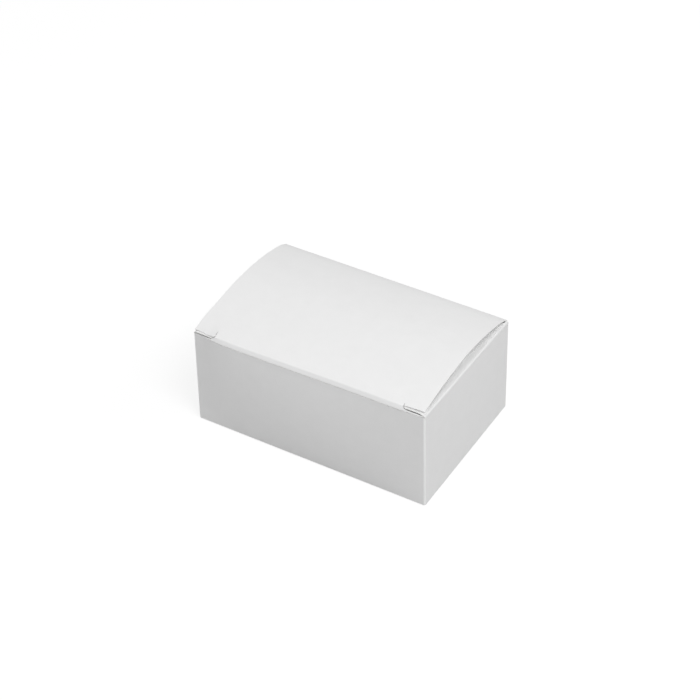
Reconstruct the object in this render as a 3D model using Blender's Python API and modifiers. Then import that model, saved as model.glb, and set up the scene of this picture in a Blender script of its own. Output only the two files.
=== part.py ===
"""Takeaway food box, folded from one sheet of white board.

A tuck-top carton: four walls with a glued seam, a self-locking base, two dust
flaps and an arched lid whose front corners are slit to lock over the dust
flaps. Lengths are in metres and +Z is up. The box stands closed with its front
towards -Y, and the origin is the bottom centre of its bounding box.
"""
import math

import bmesh
import bpy
from mathutils import Matrix, Vector

# Outside of the closed box
box_length = 0.165
box_depth = 0.107
wall_height = 0.071

# Board, folds and the air between neighbouring pieces
board = 0.0005
piece_gap = 0.0003
fold_radius = 0.001

# Front wall
front_bow = 0.0015
front_drop = 0.0012

# Lid
lid_arch = 0.009
lid_side_inset = 0.001
tuck_crease_rise = 0.0015
tuck_crease_setback = 0.0013
slit_length = 0.0139
slit_width = 0.0006
slit_return = 0.002
slit_corner_radius = 0.002

# Tuck flap and its two lock ears
tuck_depth = 0.018
tuck_side_inset = 0.002
tuck_corner_radius = 0.010
tuck_lean = math.radians(8)
ear_corner_radius = 0.002

# Dust flaps
dust_reach = 0.045
dust_lift = math.radians(3)
shoulder_setback = 0.0009
shoulder_radius = 0.0012
dust_front_setback = 0.006
dust_front_taper = 0.004
dust_back_setback = 0.0035
dust_back_taper = 1 / 3
dust_corner_radius = 0.008

# Glued seam at the back left corner
seam_flap_width = 0.013
seam_flap_taper = 0.004
seam_glue_width = 0.007
seam_glue_end = 0.008

# Self-locking base
base_side_clearance = 0.0015
base_side_taper = 0.012
base_corner_radius = 0.006
tongue_reach = 0.012
ramp_length = 0.004
nose_reach = 0.008
nose_width = 0.008
nose_radius = 0.003
tongue_clearance = 0.0005
minor_reach = 0.046
minor_end_clearance = 0.003
glue_corner_clearance = 0.002
base_glue_length = 0.020
base_glue_width = 0.010
base_glue_margin = 0.004

# Fineness of the curved outlines and sheets
fillet_steps = 6
lid_rows = 24
front_columns = 20
rod_resolution = 2

# Places that the sizes above settle
side_x = box_length / 2
middle_y = front_bow / 2
front_y = middle_y - box_depth / 2
back_y = middle_y + box_depth / 2
rod_radius = board / 2
rod_seat = rod_radius + piece_gap
fold_seat = fold_radius + piece_gap
minor_level = board / 2
major_level = minor_level + board + piece_gap
tongue_level = major_level + board + piece_gap
major_bottom = major_level - board / 2
crease_z = wall_height - rod_radius
wall_top = crease_z - rod_seat
lid_axis = Vector((0, back_y - rod_radius, crease_z))
tuck_axis = Vector((0, front_y + tuck_crease_setback, wall_height + tuck_crease_rise))
lid_half_width = side_x - lid_side_inset
slit_x = lid_half_width - slit_length
tuck_crease_half = slit_x - slit_width

# A sheet drawn in its own XY plane is laid flat, stood facing the front or facing a side
LAID = Matrix.Identity(4)
FACING_FRONT = Matrix.Rotation(math.pi / 2, 4, "X")
FACING_SIDE = Matrix.Rotation(math.pi / 2, 4, "Z") @ FACING_FRONT

WHITE_BOARD = (0.86, 0.86, 0.86, 1)
CREASED_BOARD = (0.80, 0.80, 0.80, 1)
DRY_GLUE = (0.84, 0.82, 0.74, 1)


def start_collection(name):
    """Empty the scene and return a fresh collection for the box."""
    for thing in list(bpy.data.objects):
        bpy.data.objects.remove(thing, do_unlink=True)
    collection = bpy.data.collections.new(name)
    bpy.context.scene.collection.children.link(collection)
    return collection


carton = start_collection("takeaway_food_box")


def finish_piece(piece, placement, colour=WHITE_BOARD, roughness=0.55, carrier=None):
    """Place a piece under its carrier and give it a material of its own."""
    if piece.name not in carton.objects:
        carton.objects.link(piece)
    piece.parent = carrier
    piece.matrix_basis = placement
    material = bpy.data.materials.new(piece.name)
    material.use_nodes = True
    shader = material.node_tree.nodes["Principled BSDF"]
    shader.inputs["Base Color"].default_value = colour
    shader.inputs["Roughness"].default_value = roughness
    shader.inputs["Metallic"].default_value = 0
    piece.data.materials.append(material)
    return piece


def hinge_empty(name, place, carrier=None):
    """Add an empty on a joint's axis."""
    empty = bpy.data.objects.new(name, None)
    empty.empty_display_size = tuck_depth
    carton.objects.link(empty)
    empty.parent = carrier
    empty.location = place
    return empty


def rounded_outline(corners):
    """Turn (x, y, radius) corners into points, with a fillet at each corner that has one."""
    points = []
    for index, (x, y, radius) in enumerate(corners):
        corner = Vector((x, y))
        last = Vector(corners[index - 1][:2]) - corner
        following = Vector(corners[(index + 1) % len(corners)][:2]) - corner
        if radius == 0:
            points.append(corner)
            continue
        half_angle = last.angle(following) / 2
        reach = min(radius / math.tan(half_angle), last.length / 2, following.length / 2)
        fitted = reach * math.tan(half_angle)
        inward = (last.normalized() + following.normalized()).normalized()
        centre = corner + inward * fitted / math.sin(half_angle)
        first = corner + last.normalized() * reach - centre
        final = corner + following.normalized() * reach - centre
        sweep = math.atan2(first.cross(final), first.dot(final))
        for step in range(fillet_steps + 1):
            turn = Matrix.Rotation(sweep * step / fillet_steps, 2)
            points.append(centre + turn @ first)
    return points


def outline_curve(name, points, half_thickness):
    """Make a filled 2D curve from outline points."""
    curve = bpy.data.curves.new(name, "CURVE")
    curve.dimensions = "2D"
    curve.fill_mode = "BOTH"
    curve.extrude = half_thickness
    spline = curve.splines.new("POLY")
    spline.points.add(len(points) - 1)
    for spot, point in zip(spline.points, points):
        spot.co = (point[0], point[1], 0, 1)
    spline.use_cyclic_u = True
    return bpy.data.objects.new(name, curve)


def flat_sheet(name, corners, placement, thickness=board, **finish):
    """Cut a flat piece of even thickness from an outline of corners."""
    piece = outline_curve(name, rounded_outline(corners), thickness / 2)
    return finish_piece(piece, placement, **finish)


def rectangle(left, right, low, high):
    """Corners of a plain rectangle."""
    return [(left, low, 0), (right, low, 0), (right, high, 0), (left, high, 0)]


def turned_about(corners, centre_y):
    """Turn corners half round about (0, centre_y)."""
    return [(-x, 2 * centre_y - y, radius) for x, y, radius in corners]


def shaped_sheet(name, corners, cuts, shape, placement, **finish):
    """Cut a flat outline, split it along lines of constant y, and move its points.

    shape turns a flat point (x, y) into its place (x, y, z) on the bent sheet.
    """
    guide = outline_curve(name + "_outline", rounded_outline(corners), 0)
    carton.objects.link(guide)
    bpy.context.view_layer.update()
    evaluated = guide.evaluated_get(bpy.context.evaluated_depsgraph_get())
    mesh = bpy.data.meshes.new_from_object(evaluated)
    mesh.name = name
    bpy.data.objects.remove(guide, do_unlink=True)

    sheet = bmesh.new()
    sheet.from_mesh(mesh)
    bmesh.ops.remove_doubles(sheet, verts=sheet.verts, dist=board / 100)
    for y in cuts:
        everything = sheet.verts[:] + sheet.edges[:] + sheet.faces[:]
        bmesh.ops.bisect_plane(
            sheet, geom=everything, dist=board / 100, plane_co=(0, y, 0), plane_no=(0, 1, 0)
        )
    for vertex in sheet.verts:
        vertex.co = shape(vertex.co.x, vertex.co.y)
    bmesh.ops.recalc_face_normals(sheet, faces=sheet.faces)
    sheet.to_mesh(mesh)
    sheet.free()

    piece = bpy.data.objects.new(name, mesh)
    thicken(piece)
    return finish_piece(piece, placement, **finish)


def thicken(piece):
    """Give an open sheet the board's thickness, half on each side."""
    shell = piece.modifiers.new("board", "SOLIDIFY")
    shell.thickness = board
    shell.offset = 0
    shell.use_even_offset = True


def crease_rod(name, start, end, carrier=None):
    """A crease that opens: the rounded thread of board on the axis it turns about."""
    curve = bpy.data.curves.new(name, "CURVE")
    curve.dimensions = "3D"
    curve.bevel_depth = rod_radius
    curve.bevel_resolution = rod_resolution
    curve.use_fill_caps = True
    spline = curve.splines.new("POLY")
    spline.points.add(1)
    spline.points[0].co = (*start, 1)
    spline.points[1].co = (*end, 1)
    rod = bpy.data.objects.new(name, curve)
    return finish_piece(rod, LAID, colour=CREASED_BOARD, carrier=carrier)


def fixed_fold(name, centre, lay, quarter, length):
    """A crease that stays folded: a quarter ring, as long as the fold.

    quarter counts the quarter turns from the one between the sheet's +X and +Y.
    """
    inner_radius = fold_radius - board
    points = []
    for radius, steps in ((fold_radius, range(fillet_steps + 1)),
                          (inner_radius, range(fillet_steps, -1, -1))):
        for step in steps:
            angle = math.pi / 2 * step / fillet_steps
            points.append((radius * math.cos(angle), radius * math.sin(angle)))
    piece = outline_curve(name, points, length / 2)
    turn = Matrix.Rotation(quarter * math.pi / 2, 4, "Z")
    return finish_piece(piece, Matrix.Translation(centre) @ lay @ turn, colour=CREASED_BOARD)


def make_walls():
    """Four walls, the folds between them, and the glued seam."""
    side_inner = side_x - fold_seat
    major_wall_low = major_bottom + fold_seat
    seam_x = -side_x + board + piece_gap
    seam_fold_x = seam_x + fold_radius

    front_top = wall_height - front_drop
    front_half_height = (front_top - major_wall_low) / 2
    front_middle_z = (front_top + major_wall_low) / 2
    make_front_panel(side_inner, front_half_height, front_middle_z)

    flat_sheet(
        "back_panel",
        rectangle(seam_fold_x + piece_gap, side_inner, major_wall_low, wall_top),
        Matrix.Translation((0, back_y - board / 2, 0)) @ FACING_FRONT,
    )
    flat_sheet(
        "left_side_panel",
        rectangle(front_y + fold_seat, back_y, fold_seat, wall_top),
        Matrix.Translation((-side_x + board / 2, 0, 0)) @ FACING_SIDE,
    )
    flat_sheet(
        "right_side_panel",
        rectangle(front_y + fold_seat, back_y - fold_seat, fold_seat, wall_top),
        Matrix.Translation((side_x - board / 2, 0, 0)) @ FACING_SIDE,
    )

    corner_length = wall_top - major_wall_low
    corner_z = (wall_top + major_wall_low) / 2
    front_fold_y = front_y + fold_radius
    back_fold_y = back_y - fold_radius
    for name, x, y, quarter in (
        ("front_left_corner_fold", -side_x + fold_radius, front_fold_y, 2),
        ("front_right_corner_fold", side_x - fold_radius, front_fold_y, 3),
        ("back_right_corner_fold", side_x - fold_radius, back_fold_y, 0),
        ("seam_flap_fold", seam_fold_x, back_fold_y, 1),
    ):
        fixed_fold(name, (x, y, corner_z), LAID, quarter, corner_length)

    seam_back = back_y - fold_seat
    seam_front = seam_back - seam_flap_width
    flat_sheet(
        "seam_flap",
        [
            (seam_back, major_wall_low, 0),
            (seam_back, wall_top, 0),
            (seam_front, wall_top - seam_flap_taper, 0),
            (seam_front, major_wall_low + seam_flap_taper, 0),
        ],
        Matrix.Translation((seam_x + board / 2, 0, 0)) @ FACING_SIDE,
    )
    seam_middle = (seam_back + seam_front) / 2
    flat_sheet(
        "seam_glue",
        rectangle(
            seam_middle - seam_glue_width / 2,
            seam_middle + seam_glue_width / 2,
            major_wall_low + seam_glue_end,
            wall_top - seam_glue_end,
        ),
        Matrix.Translation((seam_x - piece_gap / 2, 0, 0)) @ FACING_SIDE,
        thickness=piece_gap / 3,
        colour=DRY_GLUE,
        roughness=0.3,
    )


def make_front_panel(half_width, half_height, middle_z):
    """Front wall, whose free top edge bows out in front of the tuck flap."""
    sheet = bmesh.new()
    bmesh.ops.create_grid(sheet, x_segments=front_columns, y_segments=4, size=1)
    for vertex in sheet.verts:
        across, up = vertex.co.x, (vertex.co.y + 1) / 2
        bulge = front_bow * up * (1 - across ** 2)
        vertex.co = (across * half_width, -bulge, vertex.co.y * half_height)
    mesh = bpy.data.meshes.new("front_panel")
    sheet.to_mesh(mesh)
    sheet.free()
    piece = bpy.data.objects.new("front_panel", mesh)
    thicken(piece)
    finish_piece(piece, Matrix.Translation((0, front_y + board / 2, middle_z)))


def major_flap_height(reach_past_middle):
    """Mid-height of a major flap: low in its own half, then up a ramp to its tongue."""
    share = (reach_past_middle + ramp_length / 2) / ramp_length
    share = min(max(share, 0), 1)
    return major_level + (tongue_level - major_level) * share


def make_base():
    """Front and back flaps that hook together, over two glued side flaps."""
    front_fold_y = front_y + fold_radius
    back_fold_y = back_y - fold_radius
    side_fold_x = side_x - fold_radius
    for name, centre, lay, quarter, length in (
        ("front_base_fold", (0, front_fold_y, major_bottom + fold_radius), FACING_SIDE, 2,
         box_length - 2 * fold_seat),
        ("back_base_fold", (0, back_fold_y, major_bottom + fold_radius), FACING_SIDE, 3,
         box_length - 2 * fold_seat),
        ("left_base_fold", (-side_fold_x, middle_y, fold_radius), FACING_FRONT, 2,
         box_depth - 2 * fold_seat),
        ("right_base_fold", (side_fold_x, middle_y, fold_radius), FACING_FRONT, 3,
         box_depth - 2 * fold_seat),
    ):
        fixed_fold(name, centre, lay, quarter, length)

    wide = side_x - base_side_clearance
    narrow = wide - base_side_taper
    ramp_low = middle_y - ramp_length / 2
    ramp_high = middle_y + ramp_length / 2
    tongue_end = middle_y + tongue_reach
    front_outline = [
        (-wide, front_y + fold_seat, 0),
        (wide, front_y + fold_seat, 0),
        (narrow, tongue_end, base_corner_radius),
        (-nose_reach, tongue_end, nose_radius),
        (-nose_reach, tongue_end - nose_width, nose_radius),
        (tongue_clearance, tongue_end - nose_width, 0),
        (tongue_clearance, ramp_low, 0),
        (-narrow, ramp_low, base_corner_radius),
    ]
    shaped_sheet(
        "front_base_flap",
        front_outline,
        (ramp_low, ramp_high),
        lambda x, y: Vector((x, y, major_flap_height(y - middle_y))),
        LAID,
    )
    shaped_sheet(
        "back_base_flap",
        turned_about(front_outline, middle_y),
        (ramp_low, ramp_high),
        lambda x, y: Vector((x, y, major_flap_height(middle_y - y))),
        LAID,
    )
    make_side_base_flaps(side_fold_x, front_fold_y)


def make_side_base_flaps(fold_x, corner_y):
    """Side flaps, each with a corner that is glued under a major flap.

    The right one is drawn, with its glued corner at the front. The left one is
    the same turned half round, with its glued corner at the back.
    """
    edge_x = fold_x - piece_gap
    tip_x = fold_x - minor_reach
    tip_y = corner_y + minor_reach
    crease_offset = rod_seat * math.sqrt(2)
    free_flap = [
        (edge_x, corner_y + piece_gap + crease_offset, 0),
        (edge_x, back_y - fold_seat - minor_end_clearance, 0),
        (tip_x + crease_offset, tip_y, base_glue_margin),
    ]
    glued_corner = [
        (fold_x - crease_offset - glue_corner_clearance, corner_y + glue_corner_clearance, 0),
        (tip_x, tip_y - crease_offset, 0),
        (tip_x, corner_y + glue_corner_clearance, base_glue_margin),
    ]
    glue_left = tip_x + base_glue_margin
    glue_low = corner_y + glue_corner_clearance + base_glue_margin
    glue = rectangle(glue_left, glue_left + base_glue_length,
                     glue_low, glue_low + base_glue_width)
    crease = [(fold_x - piece_gap - rod_radius, corner_y + piece_gap + rod_radius),
              (tip_x + rod_radius, tip_y - rod_radius)]
    for side, held_by in (("right", "front"), ("left", "back")):
        if side == "left":
            free_flap, glued_corner, glue = (
                turned_about(corners, middle_y) for corners in (free_flap, glued_corner, glue)
            )
            crease = [(-x, 2 * middle_y - y) for x, y in crease]
        level = Matrix.Translation((0, 0, minor_level))
        flat_sheet(side + "_base_flap", free_flap, level)
        flat_sheet(side + "_glued_corner", glued_corner, level)
        start, end = ((x, y, minor_level) for x, y in crease)
        crease_rod(side + "_diagonal_crease", start, end)
        glue_level = Matrix.Translation((0, 0, board + piece_gap / 2))
        flat_sheet(held_by + "_base_glue", glue, glue_level, thickness=piece_gap / 3,
                   colour=DRY_GLUE, roughness=0.3)


def make_lid():
    """Arched lid with slit front corners, and the tuck flap hinged to its front."""
    lid_hinge = hinge_empty("lid_hinge", lid_axis)
    rod_half = side_x - fold_seat
    crease_rod("lid_crease", lid_axis - Vector((rod_half, 0, 0)),
               lid_axis + Vector((rod_half, 0, 0)))

    chord = tuck_axis - lid_axis
    along = chord.normalized()
    upward = Vector((0, along.z, -along.y))
    radius = (chord.length ** 2 / 4 + lid_arch ** 2) / (2 * lid_arch)
    half_angle = math.asin(chord.length / 2 / radius)
    lid_run = 2 * half_angle * radius

    def arched(x, run):
        """Place of a point of the lid at a distance along its arch from the hinge."""
        angle = run / radius - half_angle
        forward = chord.length / 2 + radius * math.sin(angle)
        rise = radius * (math.cos(angle) - math.cos(half_angle))
        return Vector((x, 0, 0)) + along * forward + upward * rise

    lip_edge = lid_run - slit_width
    fold_edge = lid_run - rod_seat
    slit_end = lip_edge - slit_return
    right_front = [
        (lid_half_width, lip_edge, 0),
        (slit_x, lip_edge, slit_corner_radius),
        (slit_x, slit_end, 0),
        (tuck_crease_half, slit_end, 0),
        (tuck_crease_half, fold_edge, 0),
    ]
    left_front = [(-x, run, rounding) for x, run, rounding in reversed(right_front)]
    outline = [(-lid_half_width, rod_seat, 0), (lid_half_width, rod_seat, 0)]
    rows = [lid_run * row / lid_rows for row in range(1, lid_rows)]
    shaped_sheet("lid_panel", outline + right_front + left_front, rows, arched, LAID,
                 carrier=lid_hinge)

    tuck_place = tuck_axis - lid_axis
    crease_rod("tuck_crease", tuck_place - Vector((tuck_crease_half, 0, 0)),
               tuck_place + Vector((tuck_crease_half, 0, 0)), carrier=lid_hinge)
    make_tuck_flap(hinge_empty("tuck_hinge", tuck_place, carrier=lid_hinge))


def make_tuck_flap(tuck_hinge):
    """Tuck flap behind the front wall, and the ears that lie under the dust flaps."""
    hanging = Matrix.Rotation(tuck_lean, 4, "X") @ FACING_FRONT
    flat_sheet(
        "tuck_flap",
        rectangle(-tuck_crease_half, tuck_crease_half, -tuck_depth, -rod_seat),
        hanging,
        carrier=tuck_hinge,
    )
    ear_inner = tuck_crease_half + piece_gap
    ear_outer = side_x - tuck_side_inset
    shoulder_underside = crease_z - board / 2
    ear_top = -(tuck_axis.z - shoulder_underside + 2 * piece_gap) / math.cos(tuck_lean)
    right_ear = [
        (ear_inner, ear_top, 0),
        (ear_outer, ear_top, ear_corner_radius),
        (ear_outer, -tuck_depth, tuck_corner_radius),
        (ear_inner, -tuck_depth, 0),
    ]
    left_ear = [(-x, y, rounding) for x, y, rounding in right_ear]
    for name, corners in (("left_lock_ear", left_ear), ("right_lock_ear", right_ear)):
        flat_sheet(name, corners, hanging, carrier=tuck_hinge)


def make_dust_flap(name, side):
    """Dust flap on one side wall; side is -1 at the left and 1 at the right.

    Its shoulder reaches in to the end of the lid's slit.
    """
    axis = Vector((side * (side_x - rod_radius), 0, crease_z))
    hinge = hinge_empty(name + "_dust_hinge", axis)
    crease_rod(name + "_dust_crease", axis + Vector((0, front_y + fold_seat, 0)),
               axis + Vector((0, back_y - fold_seat, 0)))
    front = front_y + dust_front_setback
    back = back_y - dust_back_setback
    shoulder_width = axis.x * side - tuck_crease_half - piece_gap
    corners = [
        (rod_seat, front_y + shoulder_setback, 0),
        (shoulder_width, front_y + shoulder_setback, shoulder_radius),
        (shoulder_width, front, 0),
        (dust_reach, front + dust_front_taper, dust_corner_radius),
        (dust_reach, back - dust_reach * dust_back_taper, dust_corner_radius),
        (rod_seat, back - rod_seat * dust_back_taper, 0),
    ]
    inward = [(-side * reach, y, rounding) for reach, y, rounding in corners]
    flat_sheet(name + "_dust_flap", inward, Matrix.Rotation(side * dust_lift, 4, "Y"),
               carrier=hinge)


make_walls()
make_base()
make_lid()
make_dust_flap("left", -1)
make_dust_flap("right", 1)
bpy.context.view_layer.update()
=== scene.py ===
"""Dressed model of the takeaway food box: board sheets with soft folds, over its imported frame."""
import math

import bmesh
import bpy
import numpy as np
from mathutils import Matrix, Vector


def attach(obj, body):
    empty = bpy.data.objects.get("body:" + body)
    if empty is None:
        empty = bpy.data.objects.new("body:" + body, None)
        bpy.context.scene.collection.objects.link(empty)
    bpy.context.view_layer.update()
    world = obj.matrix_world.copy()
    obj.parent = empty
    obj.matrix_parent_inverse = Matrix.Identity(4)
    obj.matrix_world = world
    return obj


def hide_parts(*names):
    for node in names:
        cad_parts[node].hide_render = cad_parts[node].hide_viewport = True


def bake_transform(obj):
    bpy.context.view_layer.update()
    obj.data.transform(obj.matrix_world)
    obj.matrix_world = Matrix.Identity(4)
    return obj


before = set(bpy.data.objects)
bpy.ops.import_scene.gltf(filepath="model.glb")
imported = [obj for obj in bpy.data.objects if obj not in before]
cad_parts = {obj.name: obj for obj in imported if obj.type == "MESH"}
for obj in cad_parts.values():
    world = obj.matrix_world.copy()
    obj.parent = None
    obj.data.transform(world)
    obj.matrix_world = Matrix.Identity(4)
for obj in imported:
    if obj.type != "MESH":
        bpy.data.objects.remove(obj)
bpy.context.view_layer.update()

X = Vector((1, 0, 0))
Y = Vector((0, 1, 0))
Z = Vector((0, 0, 1))

# Sizes of the box, in metres, as in the part's source
box_length = 0.165
box_depth = 0.107
wall_height = 0.071
board = 0.0005
piece_gap = 0.0003
front_bow = 0.0015
front_drop = 0.0012
lid_side_inset = 0.001
slit_length = 0.0139
slit_width = 0.0006
slit_return = 0.002
slit_corner_radius = 0.002
tuck_crease_rise = 0.0015
tuck_crease_setback = 0.0013
tuck_depth = 0.018
tuck_side_inset = 0.002
tuck_corner_radius = 0.010
tuck_lean = math.radians(8)
dust_reach = 0.045
dust_lift = math.radians(3)
dust_front_setback = 0.006
dust_front_taper = 0.004
dust_back_setback = 0.0035
dust_back_taper = 1 / 3
dust_corner_radius = 0.008
seam_flap_width = 0.013
seam_flap_taper = 0.004
base_side_clearance = 0.0015
base_side_taper = 0.012
base_corner_radius = 0.006
tongue_reach = 0.012
ramp_length = 0.004
nose_reach = 0.008
nose_width = 0.008
nose_radius = 0.003
tongue_clearance = 0.0005
minor_reach = 0.046
minor_end_clearance = 0.003
glue_corner_clearance = 0.002

# How far each soft fold reaches along the sheet on either side of its corner, how far the
# front corner folds go on above the side walls, and how far the dust flaps' folds end short
# of the front and back faces
wall_fold_reach = 0.0009
corner_fold_extra = 0.00035
base_fold_reach = 0.0006
dust_fold_reach = 0.0011
dust_fold_front = 0.0003
dust_fold_back = 0.00095
lid_fold_reach = 0.0009

# The lid's front fold, on the board's middle: where it starts behind the front face, how far
# the lid runs on before it turns down, the two turns that seat it on the front wall's top,
# each as depth behind the front face and rise above that top, and the radii of the three turns
front_fold_start = 0.0022
front_fold_run = 0.00065
front_fold_turns = ((0.00020, 0.00034), (0.00090, 0.00003))
front_fold_radii = (0.0010, 0.0003, 0.0005)

# The front fold's ends, on the left (-1) and on the right (1): how far they stop short of the
# slits, how far they widen into the ears, and how full the curve of that widening is
fold_end_gaps = {-1: 0.0002, 1: 0.0005}
front_fold_flares = {-1: 0.0036, 1: 0.0028}
flare_fullness = {-1: 1.6, 1: 1.0}

# How far the ears reach up beyond the fold's crest on the left and on the right, more beside
# the bowed middle of the wall, as a share of its bow, and less towards their ends
ear_reaches = {-1: 0.0003, 1: 0.0010}
ear_bow_share = 0.55
ear_end_fall = 0.0004
ear_end_run = 0.004
ear_corner_radius = 0.001
ear_side_inset = 0.0012

# The shoulders lie over the ears: the depth behind the front face at which they end, how far
# they rise above their crease, the reach at which they have, how they swell under the lid,
# their share of the wall's bow, how far their tips go on behind the front fold, and the
# rounding of their tips and of the notches behind these
shoulder_depths = {-1: 0.00015, 1: 0.00075}
shoulder_rises = {-1: 0.0004, 1: 0.00085}
shoulder_rise_ends = {-1: 0.002, 1: 0.0045}
shoulder_swells = {-1: 0.0005, 1: 0.0008}
shoulder_bow_share = 0.3
shoulder_tips = {-1: 0.0020, 1: 0.0012}
shoulder_radius = 0.0035
shoulder_notch_radius = 0.000875

# The dust flaps dip beside their creases and rise further in: how far, below the highest part
# of the lid's arch, and the reach at which they have
dust_dip = 0.0004
dust_dip_end = 0.0045
dust_swell = 0.0025
dust_swell_end = 0.014

# The slits' ends turn back further on the left and less far on the right, and the left slit
# runs on a little further inwards
slit_return_extras = {-1: 0.002, 1: -0.0008}
left_slit_extra = 0.0012

# The lid's left end is cut fuller at its front corner, forwards and sideways, where it widens
# over the flare's depth behind the front face. It is narrower in its middle: its waist starts
# and is full at these distances in front of the back face.
left_lip_advance = 0.0004
left_side_flare = 0.0008
left_flare_depth = 0.022
left_waist = 0.0004
left_waist_start = 0.022
left_waist_full = 0.044

# The lid's arch: depth behind the front face, and rise of the board's middle above the walls
lid_profile = (
    (0.0013, 0.0017),
    (0.0070, 0.0033),
    (0.0120, 0.0045),
    (0.0250, 0.0068),
    (0.0400, 0.0085),
    (0.0560, 0.00935),
    (0.0700, 0.0086),
    (0.0840, 0.00665),
    (0.0950, 0.00435),
    (0.1020, 0.00215),
    (0.10675, -0.00025),
)

# The front wall's bow along its length, as place and share of the full bow, and the depth of
# lid that bows with it
bow_profile = (
    (-0.0816, 0.0),
    (-0.0760, 0.25),
    (-0.0700, 0.80),
    (-0.0600, 1.25),
    (-0.0400, 1.20),
    (-0.0200, 1.04),
    (0.0000, 0.86),
    (0.0200, 0.62),
    (0.0400, 0.50),
    (0.0650, 0.36),
    (0.0816, 0.0),
)
bow_fade = 0.030

# How the walls swell between their folds, which pull them flat: how far at most, and the
# power that their swell grows with above the base
front_belly = 0.0022
side_belly = 0.0006
belly_rise = 0.8

# The base is a little out of square: how far its corners lie off in x and in y, each named
# by its side, -1 at the left, and its end, -1 at the front
corner_shifts = {
    (-1, -1): (-0.0006, 0.0002),
    (1, -1): (0.0008, -0.0005),
    (-1, 1): (0, 0),
    (1, 1): (-0.0004, 0.0010),
}

# The lid's front lips bend beside their slits: the left one droops, with a step along its
# slit, and the right one curls up
lip_steps = {-1: -0.0003, 1: 0}
lip_bends = {-1: -0.0005, 1: 0.0003}
lip_bend_runs = {-1: 0.006, 1: 0.013}
lip_bend_fade = 0.012

# The big base flaps rest on the ground along their folds, and rise over the side flaps
ground_clearance = 0.00005
base_rise_start = 0.0002
base_rise_run = 0.0016

# The side base flaps: how far inside the box's corner their diagonal creases start, how round
# their free corners are, the depth and width of the creases' grooves, and how far the cells
# that draw these reach
minor_corner_inset = 0.001
minor_corner_radius = 0.004
groove_depth = 0.0001
groove_width = 0.0005
groove_reach = 0.00075

# Fineness: steps of fillets, of folds, of the front fold's turns and plain runs, of slopes and
# of grooves, the sizes of cells, a length that counts as none, and one to measure slopes over
fillet_steps = 10
fold_steps = 12
turn_steps = 6
run_steps = 4
slope_steps = 8
groove_steps = 12
coarse_cell = 0.008
cell = 0.004
half_cell = 0.002
fine_cell = 0.001
finest_cell = 0.0005
tiny = 1e-6
probe = 2e-5

# Finishes of a sheet, in the order of its materials
outside_finish, inside_finish, edge_finish = range(3)

# Colours of the board, outside and inside, of its cut edges, and of thin and thick glue
white_board = (0.86, 0.86, 0.86)
inside_board = (0.84, 0.838, 0.83)
edge_board = (0.83, 0.828, 0.822)
thin_glue = (0.76, 0.73, 0.62, 1)
thick_glue = (0.86, 0.84, 0.77, 1)

# The noise of the board's cloudiness, of its fibres and of the glue, and the range it fills
cloud_noise = {"Scale": 110, "Detail": 5, "Roughness": 0.62}
fibre_noise = {"Scale": 1500, "Detail": 4, "Roughness": 0.7, "Distortion": 0.6}
glue_noise = {"Scale": 320, "Detail": 4}
noise_low = 0.3
noise_high = 0.7

# Gloss and relief of the board and of the glue
gloss_reach = 0.05
board_specular = 0.3
fibre_relief_share = 1 / 6
glue_roughness = 0.28
glue_relief = 0.0002

# The floor: half its width, its level, the grey that it reflects onto the box, and the grey
# and the glow that add up to the white that is seen, of which a shadow darkens only the grey
floor_half = 6.0
floor_level = -0.0001
floor_colour = 0.35
floor_shadow_share = 0.24
floor_glow = 0.805

# Light: the surroundings' strength, the side of the lamps, and each lamp's direction from the
# box, its distance and its power in watts
surroundings_strength = 0.529
lamp_side = 1.2
lamps = {
    "key_light": ((0.262, -0.138, 0.465), 3.0, 40),
    "back_right_light": ((0.8, 0.5, 0.7), 3.0, 16.9),
    "front_light": ((0.1, -1.0, 0.4), 2.5, 10.4),
}

# Camera: its place in metres, its turns in degrees, and its lens and sensor in millimetres
camera_place = (0.56414, -0.91844, 0.92347)
camera_turns = (51.045, 0.940, 30.845)
camera_lens = 113.546
camera_sensor = 36

# Places that the sizes above settle
side_x = box_length / 2
middle_y = front_bow / 2
front_y = middle_y - box_depth / 2
back_y = middle_y + box_depth / 2
half_board = board / 2
side_mid = side_x - half_board
seam_mid = -side_x + board + piece_gap + half_board
front_mid = front_y + half_board
back_mid = back_y - half_board
crease_z = wall_height - half_board
minor_level = half_board
major_level = minor_level + board + piece_gap
tongue_level = major_level + board + piece_gap
fold_level = half_board + ground_clearance
wall_low = fold_level + base_fold_reach
side_low = minor_level + base_fold_reach
side_top = crease_z - dust_fold_reach
wall_top = crease_z - half_board - piece_gap
front_top = wall_height - front_drop
lid_half_width = side_x - lid_side_inset
slit_xs = {-1: lid_half_width - slit_length - left_slit_extra, 1: lid_half_width - slit_length}
fold_halves = {side: slit_x - fold_end_gaps[side] for side, slit_x in slit_xs.items()}
tuck_y = front_y + tuck_crease_setback
tuck_z = wall_height + tuck_crease_rise
fold_start = front_y + front_fold_start
lip_edge = tuck_y + slit_width
slit_ends = {side: lip_edge + slit_return + slit_return_extras[side] for side in (-1, 1)}


# Curves and outlines

def smoothstep(value, start, end):
    """0 before start, 1 after end, and smooth between them."""
    share = min(max((value - start) / (end - start), 0.0), 1.0)
    return share * share * (3 - 2 * share)


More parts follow.
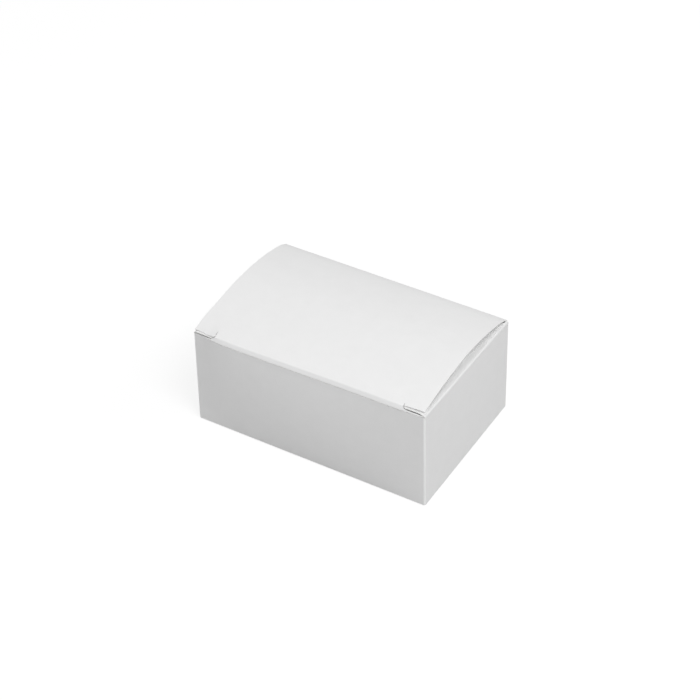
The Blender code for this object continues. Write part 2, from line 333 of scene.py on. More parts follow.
def spline_through(stations):
    """A smooth curve through (x, y) stations, as a function of x, straight beyond its ends.

    It is a cubic spline. bends holds its second derivatives, which are 0 at its ends.
    """
    xs, ys = np.array(sorted(stations)).T
    gaps = np.diff(xs)
    slopes = np.diff(ys) / gaps
    count = len(xs)
    system = np.eye(count)
    right = np.zeros(count)
    for i in range(1, count - 1):
        system[i, i - 1:i + 2] = gaps[i - 1], 2 * (gaps[i - 1] + gaps[i]), gaps[i]
        right[i] = 6 * (slopes[i] - slopes[i - 1])
    bends = np.linalg.solve(system, right)

    def slope_at_end(last):
        if last:
            return slopes[-1] + gaps[-1] * bends[-2] / 6
        return slopes[0] - gaps[0] * bends[1] / 6

    def value(x):
        if x <= xs[0]:
            return float(ys[0] + (x - xs[0]) * slope_at_end(False))
        if x >= xs[-1]:
            return float(ys[-1] + (x - xs[-1]) * slope_at_end(True))
        i = int(np.searchsorted(xs, x)) - 1
        before, after, gap = x - xs[i], xs[i + 1] - x, gaps[i]
        curve = (bends[i] * after ** 3 + bends[i + 1] * before ** 3) / (6 * gap)
        line = (ys[i] / gap - bends[i] * gap / 6) * after
        line += (ys[i + 1] / gap - bends[i + 1] * gap / 6) * before
        return float(curve + line)

    return value


def bend_between(corner, come, go, reach):
    """The arc that rounds a corner between two directions, as a function of the share along it."""
    come, go = come.normalized(), go.normalized()
    turn = come.angle(go)
    radius = reach / math.tan(turn / 2)
    inward = (go - come * math.cos(turn)).normalized()
    centre = corner - come * reach + inward * radius

    def place(share):
        angle = turn * share
        return centre - inward * radius * math.cos(angle) + come * radius * math.sin(angle)

    return place


def rounded_path(corners, radii):
    """A path through corners with rounded turns, as a function of the distance along it.

    Also returns the distances at which its straight runs and its turns end, which alternate.
    """
    def straight(start, end):
        return lambda share: start + (end - start) * share

    runs = []
    start = corners[0]
    for index, radius in enumerate(radii, 1):
        corner = corners[index]
        come = (corner - corners[index - 1]).normalized()
        go = (corners[index + 1] - corner).normalized()
        turn = come.angle(go)
        reach = radius * math.tan(turn / 2)
        arc_start = corner - come * reach
        runs.append(((arc_start - start).length, straight(start, arc_start)))
        runs.append((radius * turn, bend_between(corner, come, go, reach)))
        start = corner + go * reach
    runs.append(((corners[-1] - start).length, straight(start, corners[-1])))
    ends = [sum(length for length, _ in runs[:count]) for count in range(1, len(runs) + 1)]

    def place(distance):
        index = sum(distance > end for end in ends[:-1])
        length, run = runs[index]
        return run((distance - ends[index]) / length + 1)

    return place, ends


def rounded_outline(corners):
    """Turn (x, y, radius) corners into points, with a fillet at each corner that has one."""
    points = []
    for index, (x, y, radius) in enumerate(corners):
        corner = Vector((x, y))
        last = Vector(corners[index - 1][:2]) - corner
        following = Vector(corners[(index + 1) % len(corners)][:2]) - corner
        if radius == 0:
            points.append(corner)
            continue
        half_angle = last.angle(following) / 2
        reach = min(radius / math.tan(half_angle), last.length / 2, following.length / 2)
        fitted = reach * math.tan(half_angle)
        inward = (last.normalized() + following.normalized()).normalized()
        centre = corner + inward * fitted / math.sin(half_angle)
        first = corner + last.normalized() * reach - centre
        final = corner + following.normalized() * reach - centre
        sweep = math.atan2(first.cross(final), first.dot(final))
        for step in range(fillet_steps + 1):
            points.append(centre + Matrix.Rotation(sweep * step / fillet_steps, 2) @ first)
    return points


def rectangle(left, right, low, high):
    """Corners of a plain rectangle."""
    return [(left, low, 0), (right, low, 0), (right, high, 0), (left, high, 0)]


def turned_about(corners, centre_y):
    """Turn corners half round about (0, centre_y)."""
    return [(-x, 2 * centre_y - y, radius) for x, y, radius in corners]


# Sheets of board

def spread(low, high, step=cell):
    """Even stations between two values, about a step apart, without the ends."""
    count = max(int(round((high - low) / step)), 1)
    return [low + (high - low) * i / count for i in range(1, count)]


def cut_flat(corners, u_cuts, v_cuts):
    """A flat outline, split along lines of constant u and of constant v."""
    flat = bmesh.new()
    flat.faces.new([flat.verts.new((*point, 0)) for point in rounded_outline(corners)])
    for axis, cuts in ((X, u_cuts), (Y, v_cuts)):
        for cut in cuts:
            everything = flat.verts[:] + flat.edges[:] + flat.faces[:]
            bmesh.ops.bisect_plane(flat, geom=everything, dist=tiny, plane_co=axis * cut,
                                   plane_no=axis)
    crowded = [face for face in flat.faces if len(face.verts) > 4]
    bmesh.ops.triangulate(flat, faces=crowded)
    bmesh.ops.recalc_face_normals(flat, faces=flat.faces)
    flat.normal_update()
    if sum(face.normal.z for face in flat.faces) < 0:
        bmesh.ops.reverse_faces(flat, faces=flat.faces)
    flat.verts.index_update()
    return flat


def out_of_square(point):
    """Shift a place as the base's corners are shifted, and less towards the wall tops."""
    fade = max(1 - point.z / wall_height, 0)
    shift = Vector((0, 0, 0))
    for (side, end), (shift_x, shift_y) in corner_shifts.items():
        share_x = (1 + side * point.x / side_x) / 2
        share_y = (1 + end * (point.y - middle_y) * 2 / box_depth) / 2
        shift += Vector((shift_x, shift_y, 0)) * (share_x * share_y) * fade
    return point + shift


def sheet_faces(flat, points, normals, outward):
    """Faces of a sheet's outside, inside and cut edge, with their finishes and corner normals.

    points holds the outside's points, one for each of normals, and then the inside's.
    """
    count = len(normals)
    faces, finishes, corner_normals = [], [], []

    def add_face(loop, finish, loop_normals):
        faces.append(loop)
        finishes.append(finish)
        corner_normals.extend(loop_normals)

    for face in flat.faces:
        loop = [vertex.index for vertex in face.verts][::outward]
        add_face(loop, outside_finish, [normals[i] for i in loop])
        back = loop[::-1]
        add_face([i + count for i in back], inside_finish, [-normals[i] for i in back])
    for edge in flat.edges:
        if len(edge.link_loops) != 1:
            continue
        loop = edge.link_loops[0]
        a, b = loop.vert.index, loop.link_loop_next.vert.index
        if outward < 0:
            a, b = b, a
        side = (points[a] - points[b]).cross(points[a + count] - points[a]).normalized()
        add_face([b, a, a + count, b + count], edge_finish, [side] * 4)
    return faces, finishes, corner_normals


def sheet_piece(name, corners, form, u_cuts=(), v_cuts=(), outward=1, materials=None):
    """Bend a flat outline into a sheet of board.

    form turns a flat point (u, v) into a place on the middle of the board.
    outward is 1 where the box's outside is on the side of u cross v, and else -1.
    """
    def place(u, v):
        return out_of_square(form(u, v))

    flat = cut_flat(corners, u_cuts, v_cuts)
    middles, normals = [], []
    for vertex in flat.verts:
        u, v = vertex.co.x, vertex.co.y
        along_u = place(u + probe, v) - place(u - probe, v)
        along_v = place(u, v + probe) - place(u, v - probe)
        middles.append(place(u, v))
        normals.append(along_u.cross(along_v).normalized() * outward)
    points = [m + n * half_board for m, n in zip(middles, normals)]
    points += [m - n * half_board for m, n in zip(middles, normals)]
    faces, finishes, corner_normals = sheet_faces(flat, points, normals, outward)
    flat.free()

    mesh = bpy.data.meshes.new(name)
    mesh.from_pydata(points, [], faces)
    for material in materials or board_materials:
        mesh.materials.append(material)
    mesh.polygons.foreach_set("material_index", finishes)
    mesh.polygons.foreach_set("use_smooth", [True] * len(faces))
    mesh.update()
    mesh.normals_split_custom_set(corner_normals)
    return placed(name, mesh)


def placed(name, data):
    """A new object in the scene."""
    thing = bpy.data.objects.new(name, data)
    bpy.context.scene.collection.objects.link(thing)
    return thing


def stands_for(piece, body, *nodes, slot="board"):
    """Let a piece ride on a body in place of CAD nodes."""
    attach(piece, body)
    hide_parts(*nodes)


def fold_piece(name, bend, axis, low, high, outward, materials):
    """A soft fold: an arc drawn out along its axis from low to high."""
    return sheet_piece(
        name, rectangle(low, high, 0, 1), lambda along, share: bend(share) + axis * along,
        spread(low, high, coarse_cell), spread(0, 1, 1 / fold_steps), outward, materials,
    )


# Materials

def node_adder(tree):
    """A function that adds nodes to a tree, emptied here, with their inputs set or linked."""
    tree.nodes.clear()

    def add(kind, inputs=None, **settings):
        node = tree.nodes.new(kind)
        for key, value in settings.items():
            setattr(node, key, value)
        for key, value in (inputs or {}).items():
            if isinstance(value, bpy.types.NodeSocket):
                tree.links.new(value, node.inputs[key])
            else:
                node.inputs[key].default_value = value
        return node

    return add


def new_material(name):
    """A material with an empty node tree, and a function that adds nodes to it."""
    material = bpy.data.materials.new(name)
    material.use_nodes = True
    return material, node_adder(material.node_tree)


def paper(name, colour, roughness, mottle, fibre, relief, grain=(1, 1, 1)):
    """Board: cloudy formation and fine fibres in its colour, its gloss and its relief."""
    material, add = new_material(name)
    place = add("ShaderNodeTexCoord").outputs["Object"]
    stretched = add("ShaderNodeMapping", {"Vector": place, "Scale": grain}).outputs["Vector"]
    cloud = add("ShaderNodeTexNoise", {"Vector": stretched, **cloud_noise}).outputs["Fac"]
    fibres = add("ShaderNodeTexNoise", {"Vector": stretched, **fibre_noise}).outputs["Fac"]

    def around(middle, reach, noise):
        """Values that follow a noise and lie about a middle one."""
        return add("ShaderNodeMapRange", {
            "Value": noise, "From Min": noise_low, "From Max": noise_high,
            "To Min": middle - reach, "To Max": middle + reach,
        }).outputs["Result"]

    tone = add("ShaderNodeMath", {0: around(1, mottle, cloud), 1: around(1, fibre, fibres)},
               operation="MULTIPLY")
    tinted = add("ShaderNodeVectorMath", {0: colour, "Scale": tone.outputs["Value"]},
                 operation="SCALE")
    swell = add("ShaderNodeBump", {"Height": cloud, "Strength": 1.0, "Distance": relief})
    weave = add("ShaderNodeBump", {
        "Height": fibres, "Strength": 1.0, "Distance": relief * fibre_relief_share,
        "Normal": swell.outputs["Normal"],
    })
    shader = add("ShaderNodeBsdfPrincipled", {
        "Base Color": tinted.outputs["Vector"],
        "Roughness": around(roughness, gloss_reach, fibres),
        "Normal": weave.outputs["Normal"],
        "Specular IOR Level": board_specular,
    })
    add("ShaderNodeOutputMaterial", {"Surface": shader.outputs["BSDF"]})
    return material


def dried_glue(name):
    """A film of cold glue: slightly yellow, glossy, and uneven."""
    material, add = new_material(name)
    place = add("ShaderNodeTexCoord").outputs["Object"]
    streaks = add("ShaderNodeTexNoise", {"Vector": place, **glue_noise}).outputs["Fac"]
    ramp = add("ShaderNodeValToRGB", {"Fac": streaks})
    for element, colour in zip(ramp.color_ramp.elements, (thin_glue, thick_glue)):
        element.color = colour
    bump = add("ShaderNodeBump", {"Height": streaks, "Distance": glue_relief})
    shader = add("ShaderNodeBsdfPrincipled", {
        "Base Color": ramp.outputs["Color"],
        "Roughness": glue_roughness,
        "Normal": bump.outputs["Normal"],
    })
    add("ShaderNodeOutputMaterial", {"Surface": shader.outputs["BSDF"]})
    return material


def white_for(add):
    """1 for the rays that see white surroundings, and 0 for those that bring their light."""
    rays = add("ShaderNodeLightPath").outputs
    seen = rays["Is Camera Ray"]
    for kind in ("Is Glossy Ray", "Is Transmission Ray"):
        either = add("ShaderNodeMath", {0: seen, 1: rays[kind]}, operation="MAXIMUM")
        seen = either.outputs["Value"]
    return seen


def white_stage(name):
    """Floor that is seen white, with the object's shadow, and that lights it as a pale grey."""
    material, add = new_material(name)
    grey = add("ShaderNodeBsdfDiffuse", {"Color": (*[floor_colour] * 3, 1)})
    pale = add("ShaderNodeBsdfDiffuse", {"Color": (*[floor_shadow_share] * 3, 1)})
    glow = add("ShaderNodeEmission", {"Color": (1, 1, 1, 1), "Strength": floor_glow})
    white = add("ShaderNodeAddShader", {0: pale.outputs["BSDF"], 1: glow.outputs["Emission"]})
    mixed = add("ShaderNodeMixShader", {0: white_for(add), 1: grey.outputs["BSDF"],
                                        2: white.outputs["Shader"]})
    add("ShaderNodeOutputMaterial", {"Surface": mixed.outputs["Shader"]})
    return material


outside = paper("board_outside", white_board, roughness=0.52, mottle=0.010, fibre=0.006,
                relief=0.00006)
inside = paper("board_inside", inside_board, roughness=0.68, mottle=0.016, fibre=0.012,
               relief=0.00010)
cut_edge = paper("board_cut_edge", edge_board, roughness=0.85, mottle=0.03, fibre=0.05,
                 relief=0.00008, grain=(0.4, 0.4, 3))
board_materials = (outside, inside, cut_edge)


def fold_materials(direction, level, grain):
    """Materials of a folded crease, whose fibres are drawn out along the fold, and whose grey level
    is painted light: above the board's for a painted highlight, below it for painted shade.
    """
    drawn_out_and_painted_light = paper("crease_painted_light_along_" + direction, (level, level, level), roughness=0.58,
                      mottle=0.016, fibre=0.016, relief=0.00008, grain=grain)
    return drawn_out_and_painted_light, inside, cut_edge


# Crease levels are painted light: the upright folds' level is a painted highlight, well above the
# board's white; the folds along y are darker, painted shade that dims their lit crest; the folds
# along x are a touch above the board.
folds_along_x = fold_materials("x", level=0.865, grain=(0.12, 1, 1))
folds_along_y_painted_shade = fold_materials("y", level=0.79, grain=(1, 0.12, 1))
folds_along_z_painted_highlight = fold_materials("z", level=0.95, grain=(1, 1, 0.12))
glue = dried_glue("dried_glue")

# Walls and their folds

bow_share = spline_through(bow_profile)


def bow_at(x):
    """How far the front wall's top edge bows forward at x."""
    return front_bow * bow_share(x)


def belly_share(across, up):
    """Share of a wall's swell, where across runs from -1 to 1 and up from 0 to 1.

    Upwards it is up to the power of belly_rise times 1 - up, as a share of its highest value.
    """
    up = min(max(up, tiny), 1)
    peak = belly_rise / (1 + belly_rise)
    highest = peak ** belly_rise * (1 - peak)
    return up ** belly_rise * (1 - up) / highest * max(1 - across ** 2, 0)


def front_place(x, z):
    """Middle of the front wall, which swells, and bows out towards its free top edge."""
    up = max(z - fold_level, 0) / (front_top - fold_level)
    swell = front_belly * belly_share(x / side_mid, up)
    return Vector((x, front_mid - bow_at(x) * up - swell, z))


def side_place(side, y, z):
    """Middle of a side wall, which swells a little between its folds."""
    across = (y - middle_y) / (box_depth / 2)
    swell = side_belly * belly_share(across, z / crease_z)
    return Vector((side * (side_mid + swell), y, z))


def make_front_and_back_walls():
    """Front wall, and back wall between the seam and its corner fold."""
    inner = side_mid - wall_fold_reach
    front_wall = sheet_piece(
        "front_wall", rectangle(-inner, inner, wall_low, front_top), front_place,
        spread(-inner, inner), spread(wall_low, front_top), 1,
    )
    stands_for(front_wall, "carton", "front_panel")

    seam_inner = seam_mid + wall_fold_reach
    back_top = crease_z - lid_fold_reach
    back_wall = sheet_piece(
        "back_wall", rectangle(seam_inner, inner, wall_low, back_top),
        lambda x, z: Vector((x, back_mid, z)), spread(seam_inner, inner, coarse_cell),
        spread(wall_low, back_top, coarse_cell), -1,
    )
    stands_for(back_wall, "carton", "back_panel")


def make_side_walls():
    """Side walls, of which the left one runs on to the back, over the seam flap."""
    front_end = front_mid + wall_fold_reach
    for name, side, back_end in (("left", -1, back_y), ("right", 1, back_mid - wall_fold_reach)):
        wall = sheet_piece(
            name + "_side_wall", rectangle(front_end, back_end, side_low, side_top),
            lambda y, z, side=side: side_place(side, y, z),
            spread(front_end, back_end), spread(side_low, side_top), side,
        )
        stands_for(wall, "carton", name + "_side_panel")


def make_corner_folds():
    """Upright folds between the walls, and the one between the back wall and the seam flap."""
    corner_top = side_top + corner_fold_extra
    for name, corner, come, go, top in (
        ("front_left_corner_fold", (-side_mid, front_mid, 0), -Y, X, corner_top),
        ("front_right_corner_fold", (side_mid, front_mid, 0), X, Y, corner_top),
        ("back_right_corner_fold", (side_mid, back_mid, 0), Y, -X, wall_top),
        ("seam_flap_fold", (seam_mid, back_mid, 0), -X, -Y, wall_top),
    ):
        bend = bend_between(Vector(corner), come, go, wall_fold_reach)
        # These folds take a crease material lighter than the board: a painted highlight.
        piece = fold_piece(name + "_soft", bend, Z, wall_low, top, -1, folds_along_z_painted_highlight)
        stands_for(piece, "carton", name, slot="crease")


def make_seam_flap():
    """Seam flap, glued inside the left side wall."""
    seam_back = back_mid - wall_fold_reach
    seam_front = seam_back - seam_flap_width
    corners = [
        (seam_back, wall_low, 0),
        (seam_back, wall_top, 0),
        (seam_front, wall_top - seam_flap_taper, 0),
        (seam_front, wall_low + seam_flap_taper, 0),
    ]
    flap = sheet_piece(
        "seam_flap_sheet", corners, lambda y, z: Vector((seam_mid, y, z)),
        spread(seam_front, seam_back), spread(wall_low, wall_top, coarse_cell), -1,
    )
    stands_for(flap, "carton", "seam_flap")


# Base

def major_height(y):
    """Height of the front base flap, from its fold over the side flaps and up to its tongue."""
    rise_start = front_mid + base_fold_reach + base_rise_start
    risen = smoothstep(y, rise_start, rise_start + base_rise_run)
    share = smoothstep(y - middle_y, -ramp_length / 2, ramp_length / 2)
    level = fold_level + (major_level - fold_level) * risen
    return level + (tongue_level - major_level) * share


def make_base_folds():
    """Folds between the walls and the base flaps."""
    long_end = side_mid - wall_fold_reach
    short_low = front_mid + wall_fold_reach
    short_high = back_mid - wall_fold_reach
    for name, corner, come, go, axis, low, high, outward, materials in (
        ("front_base_fold", (0, front_mid, fold_level), -Z, Y, X, -long_end, long_end, -1,
         folds_along_x),
        ("back_base_fold", (0, back_mid, fold_level), -Z, -Y, X, -long_end, long_end, 1,
         folds_along_x),
        ("left_base_fold", (-side_mid, 0, minor_level), -Z, X, Y, short_low, short_high, 1,
         folds_along_y_painted_shade),
        ("right_base_fold", (side_mid, 0, minor_level), -Z, -X, Y, short_low, short_high, -1,
         folds_along_y_painted_shade),
    ):
        # The side folds' crease material is darker than the board: painted shade.
        bend = bend_between(Vector(corner), come, go, base_fold_reach)
        piece = fold_piece(name + "_soft", bend, axis, low, high, outward, materials)
        stands_for(piece, "carton", name, slot="crease")


def make_hooked_flaps():
    """Front and back base flaps, whose tongues hook over each other."""
    wide = side_x - base_side_clearance
    narrow = wide - base_side_taper
    ramp_low = middle_y - ramp_length / 2
    ramp_high = middle_y + ramp_length / 2
    tongue_end = middle_y + tongue_reach
    start = front_mid + base_fold_reach
    outline = [
        (-wide, start, 0),
        (wide, start, 0),
        (narrow, tongue_end, base_corner_radius),
        (-nose_reach, tongue_end, nose_radius),
        (-nose_reach, tongue_end - nose_width, nose_radius),
        (tongue_clearance, tongue_end - nose_width, 0),
        (tongue_clearance, ramp_low, 0),
        (-narrow, ramp_low, base_corner_radius),
    ]
    columns = spread(-wide, wide, coarse_cell)
    rows = spread(start, ramp_low, coarse_cell) + [ramp_low, ramp_high]
    rows += spread(start, start + base_rise_start + base_rise_run, base_rise_run / slope_steps)
    rows += spread(ramp_low, ramp_high, ramp_length / slope_steps) + spread(ramp_high, tongue_end)
    front_flap = sheet_piece(
        "front_base_sheet", outline,
        lambda x, y: Vector((x, y, major_height(y))), columns, rows, -1,
    )
    stands_for(front_flap, "carton", "front_base_flap")
    back_flap = sheet_piece(
        "back_base_sheet", turned_about(outline, middle_y),
        lambda x, y: Vector((x, y, major_height(2 * middle_y - y))),
        columns, [2 * middle_y - y for y in rows], -1,
    )
    stands_for(back_flap, "carton", "back_base_flap")


def make_side_base_flaps():
    """Side flaps, each with a diagonal crease and a corner glued under a big flap.

    They are drawn in a plane turned by 45 degrees, so that the crease runs along one
    of its axes. The left one is the right one turned half round.
    """
    fold_x = side_mid - base_fold_reach
    corner_x = side_x - minor_corner_inset
    corner_y = front_y + minor_corner_inset
    tip_x = corner_x - minor_reach
    tip_y = corner_y + minor_reach
    low = corner_y + glue_corner_clearance
    corners = [
        (fold_x, low, 0),
        (fold_x, back_y - minor_end_clearance - board - wall_fold_reach, 0),
        (tip_x, tip_y, minor_corner_radius),
        (tip_x, low, minor_corner_radius),
    ]
    diagonal = Matrix.Rotation(math.radians(-45), 2)
    back_again = diagonal.inverted()
    origin = Vector((corner_x, corner_y))

    def turned(point):
        return diagonal @ (Vector(point) - origin)

    slanted = [(*turned((x, y)), radius) for x, y, radius in corners]
    across = [u for u, _, _ in slanted]
    along = [v for _, v, _ in slanted]
    groove_rows = spread(-groove_reach, groove_reach, 2 * groove_reach / groove_steps)
    groove_rows = [-groove_reach, *groove_rows, groove_reach]
    for side, name in ((1, "right"), (-1, "left")):

        def place(u, v, side=side):
            x, y = back_again @ Vector((u, v)) + origin
            groove = groove_depth * math.exp(-2 * (u / groove_width) ** 2)
            if side < 0:
                x, y = -x, 2 * middle_y - y
            return Vector((x, y, minor_level + groove))

        piece = sheet_piece(name + "_base_sheet", slanted, place,
                            spread(min(across), max(across), coarse_cell) + groove_rows,
                            spread(min(along), max(along), coarse_cell), -1)
        stands_for(piece, "carton", name + "_base_flap", name + "_glued_corner",
                   name + "_diagonal_crease")


# Lid, its front fold and the tuck flap

lid_height = spline_through([(front_y + depth, wall_height + rise) for depth, rise in lid_profile])


def side_of(x):
    """-1 at the left of the box and 1 at its right."""
    return -1 if x < 0 else 1


def lip_bend(x, y):
    """How far a front corner of the lid bends up beside its slit."""
    side = side_of(x)
    beyond = abs(x) - slit_xs[side]
    outward = smoothstep(beyond, 0, lip_bend_runs[side])
    forward = smoothstep(lip_edge + lip_bend_fade - y, 0, lip_bend_fade)
    step = smoothstep(slit_ends[side] - y, 0, slit_ends[side] - lip_edge) if beyond > -tiny else 0
    return lip_bends[side] * outward * forward + lip_steps[side] * step


def lid_place(x, y):
    """Middle of the lid, whose front edge follows the bowed front wall."""
    ramp = smoothstep(fold_start + bow_fade - y, 0, bow_fade)
    return Vector((x, y - bow_at(x) * ramp, lid_height(y) + lip_bend(x, y)))


def lid_slope(y):
    """Rise of the lid for each metre towards the back, at y."""
    return (lid_height(y + probe) - lid_height(y - probe)) / (2 * probe)


def make_lid_crease():
    """Soft fold between the back wall and the lid, which begins at the y that this returns."""
    rear = Vector((0, -1, -lid_slope(back_mid))).normalized()
    bend = bend_between(Vector((0, back_mid, crease_z)), Z, rear, lid_fold_reach)
    half = side_mid - wall_fold_reach
    crease = fold_piece("lid_crease_soft", bend, X, -half, half, -1, folds_along_x)
    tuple(bend(0))
    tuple(bend(1))
    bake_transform(crease)
    finish_blend("lid_crease")
    return back_mid + rear.y * lid_fold_reach


def lid_columns():
    """Where the lid and its front fold are cut along x, more finely near the slits."""
    columns = spread(-fold_halves[-1], fold_halves[1])
    for side, fold_half in fold_halves.items():
        columns += [side * x for x in spread(fold_half, side_x, fine_cell)]
        columns += [side * x for x in spread(fold_half - coarse_cell, fold_half, fine_cell)]
    return columns


def make_lid_panel(lid_back):
    """Arched lid, whose front corners are slit."""
    right_front = [
        (fold_halves[1], fold_start, 0),
        (fold_halves[1], slit_ends[1], 0),
        (slit_xs[1], slit_ends[1], 0),
        (slit_xs[1], lip_edge, slit_corner_radius),
        (lid_half_width, lip_edge, 0),
    ]
    left_front = [
        (-lid_half_width, back_y - left_waist_start, 0),
        (-lid_half_width + left_waist, back_y - left_waist_full, 0),
        (-lid_half_width + left_waist, front_y + left_flare_depth, 0),
        (-lid_half_width - left_side_flare, lip_edge - left_lip_advance, 0),
        (-slit_xs[-1], lip_edge - left_lip_advance, slit_corner_radius),
        (-slit_xs[-1], slit_ends[-1], 0),
        (-fold_halves[-1], slit_ends[-1], 0),
        (-fold_halves[-1], fold_start, 0),
    ]
    back_edge = [(lid_half_width, lid_back, 0), (-lid_half_width, lid_back, 0)]
    rows = spread(slit_ends[-1], lid_back, half_cell) + list(slit_ends.values())
    rows += spread(lip_edge - left_lip_advance, slit_ends[-1], finest_cell)
    lid = sheet_piece("lid_sheet", left_front + right_front + back_edge, lid_place,
                      lid_columns(), rows, 1)
    stands_for(lid, "lid", "lid_panel")


def front_fold_path():
    """The way of the front fold and the tuck flap, from the lid down, and its runs' ends."""
    start = Vector((0, fold_start, lid_height(fold_start)))
    forward = Vector((0, -1, -lid_slope(fold_start))).normalized()
    turns = [Vector((0, front_y + depth, front_top + rise)) for depth, rise in front_fold_turns]
    tip = Vector((0, tuck_y, tuck_z))
    tip += tuck_depth * Vector((0, math.sin(tuck_lean), -math.cos(tuck_lean)))
    return rounded_path([start, start + forward * front_fold_run, *turns, tip], front_fold_radii)


def flare_and_ear(side, crest_end, fold_end):
    """Edges of one end of the front fold and of its ear, as x and distance down their path."""
    fold_half = fold_halves[side]
    flare_width = front_fold_flares[side]
    fullness = flare_fullness[side]
    ear_start = fold_half + flare_width
    ear_outer = side_x - ear_side_inset
    ear_run = ear_outer - ear_corner_radius - ear_start

    def ear_top(across):
        fall = ear_end_fall * smoothstep(across, ear_outer - ear_end_run, ear_outer)
        return crest_end - ear_reaches[side] - ear_bow_share * bow_at(side * across) + fall

    drop = ear_top(ear_start) - front_fold_run
    flare = []
    for step in range(fillet_steps + 1):
        angle = math.pi / 2 * step / fillet_steps
        across = fold_half + flare_width * (1 - abs(math.cos(angle)) ** fullness)
        flare.append((side * across, front_fold_run + drop * math.sin(angle) ** fullness, 0))
    ear = [(side * ear_start, fold_end, 0)]
    for step in range(fillet_steps):
        across = ear_start + ear_run * step / fillet_steps
        ear.append((side * across, ear_top(across), 0))
    ear.append((side * ear_outer, ear_top(ear_outer), ear_corner_radius))
    return flare, ear


def make_front_fold():
    """Front fold of the lid, with a flat face between its turns, and the tuck flap below it.

    The fold's ends flare into the ears, which lie under the dust flaps' shoulders.
    """
    path, ends = front_fold_path()
    _, _, _, second_turn_end, _, fold_end, depth = ends
    columns = lid_columns()

    def place(x, distance):
        return path(distance) + X * x - Y * bow_at(x)

    rows = []
    for index, run_end in enumerate(ends):
        run_start = ends[index - 1] if index else 0
        steps = turn_steps if index % 2 else run_steps
        rows += spread(run_start, run_end, (run_end - run_start) / steps) + [run_end]
    left_flare, left_ear = flare_and_ear(-1, second_turn_end, fold_end)
    right_flare, right_ear = flare_and_ear(1, second_turn_end, fold_end)
    outline = [(-fold_halves[-1], 0, 0), (fold_halves[1], 0, 0)] + right_flare
    outline += [right_ear[0], left_ear[0]] + left_flare[::-1]
    fold = sheet_piece("front_fold_soft", outline, place, columns, rows, -1, folds_along_x)
    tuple(path(0))
    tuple(path(fold_end))
    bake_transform(fold)
    finish_blend("tuck_crease")

    tuck_half = side_x - tuck_side_inset
    tuck_end = [(tuck_half, depth, tuck_corner_radius), (-tuck_half, depth, tuck_corner_radius)]
    tuck = sheet_piece("tuck_sheet", right_ear + tuck_end + left_ear[::-1], place, columns,
                       rows + spread(fold_end, depth), -1)
    stands_for(tuck, "tuck", "tuck_flap", "left_lock_ear", "right_lock_ear")


def finish_blend(node):
    """Hide a joint's CAD crease, in whose place a soft fold piece is drawn."""
    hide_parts(node)


# Dust flaps

def make_dust_flap(name, side):
    """Dust flap on one side wall, and the soft fold that it hangs from."""
    axis = Vector((side * side_mid, 0, crease_z))
    inward = Vector((-side * math.cos(dust_lift), 0, math.sin(dust_lift)))
    bend = bend_between(axis, Z, inward, dust_fold_reach)
    # The dust crease takes a crease material darker than the board: painted shade over its lit
    # crest.
    crease = fold_piece(name + "_dust_crease_soft", bend, Y, front_y + dust_fold_front,
                        back_y - dust_fold_back, side, folds_along_y_painted_shade)
    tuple(bend(0))
    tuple(bend(1))
    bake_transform(crease)
    finish_blend(name + "_dust_crease")

    front = front_y + dust_front_setback
    back = back_y - dust_back_setback
    shoulder_front = front_y + shoulder_depths[side]
    shoulder_width = side_mid - slit_xs[side] + shoulder_tips[side]
    corners = [
        (dust_fold_reach, shoulder_front, 0),
        (shoulder_width, shoulder_front, shoulder_radius),
        (shoulder_width, front, shoulder_notch_radius),
        (dust_reach, front + dust_front_taper, dust_corner_radius),
        (dust_reach, back - dust_reach * dust_back_taper, dust_corner_radius),
        (dust_fold_reach, back - dust_fold_reach * dust_back_taper, 0),
    ]

    rise_end = shoulder_rise_ends[side]
    highest = max(rise for _, rise in lid_profile)

    def curve(reach, y):
        arch = max(lid_height(y) - wall_height, 0) / highest
        dip = dust_dip * smoothstep(reach, dust_fold_reach, dust_dip_end)
        return arch * (dust_swell * smoothstep(reach, dust_dip_end, dust_swell_end) - dip)

    def place(reach, y):
        forward = smoothstep(front - y, 0, front - shoulder_front)
        hump = 4 * forward * (1 - forward)
        risen = shoulder_rises[side] * forward + shoulder_swells[side] * hump
        risen *= smoothstep(reach, dust_fold_reach, rise_end)
        level = (inward.z * reach + curve(reach, y)) * (1 - forward) + risen
        middle = Vector((axis.x + inward.x * reach, 0, crease_z + level))
        return middle + Y * (y - bow_at(middle.x) * shoulder_bow_share * forward)

    columns = spread(dust_fold_reach, dust_swell_end, finest_cell)
    columns += spread(dust_swell_end, dust_reach, half_cell) + [dust_swell_end]
    flap = sheet_piece(name + "_dust_sheet", corners, place, columns,
                       spread(shoulder_front, front, fine_cell) + spread(front, back), -side)
    stands_for(flap, name + "_dust", name + "_dust_flap")


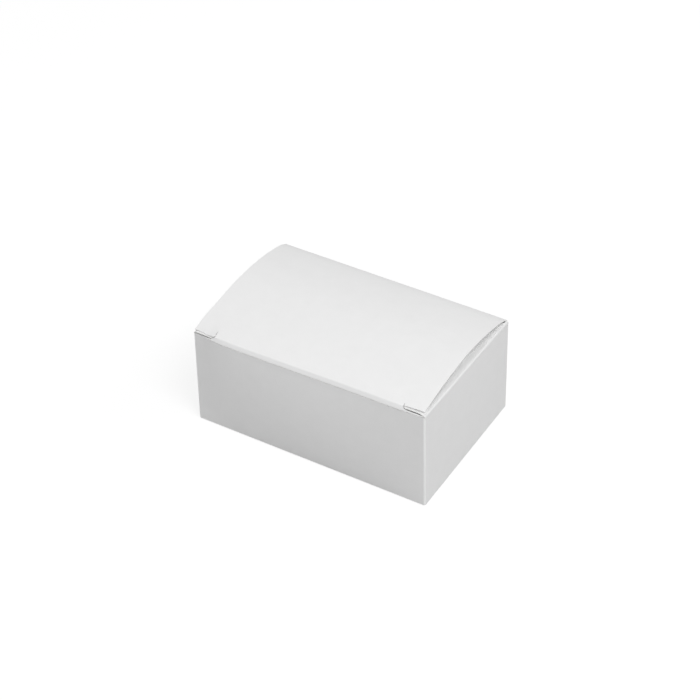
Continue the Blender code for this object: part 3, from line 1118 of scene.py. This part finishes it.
make_front_and_back_walls()
make_side_walls()
make_corner_folds()
make_seam_flap()
make_base_folds()
make_hooked_flaps()
make_side_base_flaps()
lid_start = make_lid_crease()
make_lid_panel(lid_start)
make_front_fold()
make_dust_flap("left", -1)
make_dust_flap("right", 1)
for glue_node in ("seam_glue", "front_base_glue", "back_base_glue"):
    for material_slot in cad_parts[glue_node].material_slots:
        material_slot.material = glue


# Stage, light and camera

def make_floor():
    """A wide white floor under the box."""
    corners = rectangle(-floor_half, floor_half, -floor_half, floor_half)
    mesh = bpy.data.meshes.new("floor")
    mesh.from_pydata([(x, y, floor_level) for x, y, _ in corners], [], [range(len(corners))])
    mesh.materials.append(white_stage("white_floor"))
    placed("floor", mesh)


def make_world():
    """Even pale surroundings, which the camera sees as white."""
    world = bpy.data.worlds.new("surroundings")
    bpy.context.scene.world = world
    world.use_nodes = True
    add = node_adder(world.node_tree)
    level = add("ShaderNodeMapRange", {"Value": white_for(add), "To Min": surroundings_strength,
                                       "To Max": 1})
    background = add("ShaderNodeBackground", {"Strength": level.outputs["Result"]})
    add("ShaderNodeOutputWorld", {"Surface": background.outputs["Background"]})


def make_lamp(name, direction, distance, power):
    """A soft square lamp that faces the middle of the box."""
    lamp = bpy.data.lights.new(name, "AREA")
    lamp.shape = "SQUARE"
    lamp.size = lamp_side
    lamp.energy = power
    towards = Vector(direction).normalized()
    holder = placed(name, lamp)
    holder.location = Z * wall_height / 2 + towards * distance
    holder.rotation_euler = towards.to_track_quat("Z", "Y").to_euler()


def make_camera():
    """Camera at the photograph's place, found from the box's seven visible corners."""
    camera = bpy.data.cameras.new("camera")
    camera.lens = camera_lens
    camera.sensor_width = camera_sensor
    holder = placed("camera", camera)
    holder.location = camera_place
    holder.rotation_euler = [math.radians(angle) for angle in camera_turns]
    bpy.context.scene.camera = holder


make_floor()
make_world()
for lamp_name, (direction, distance, power) in lamps.items():
    make_lamp(lamp_name, direction, distance, power)
make_camera()
bpy.context.scene.view_settings.view_transform = "Standard"

bpy.context.view_layer.update()
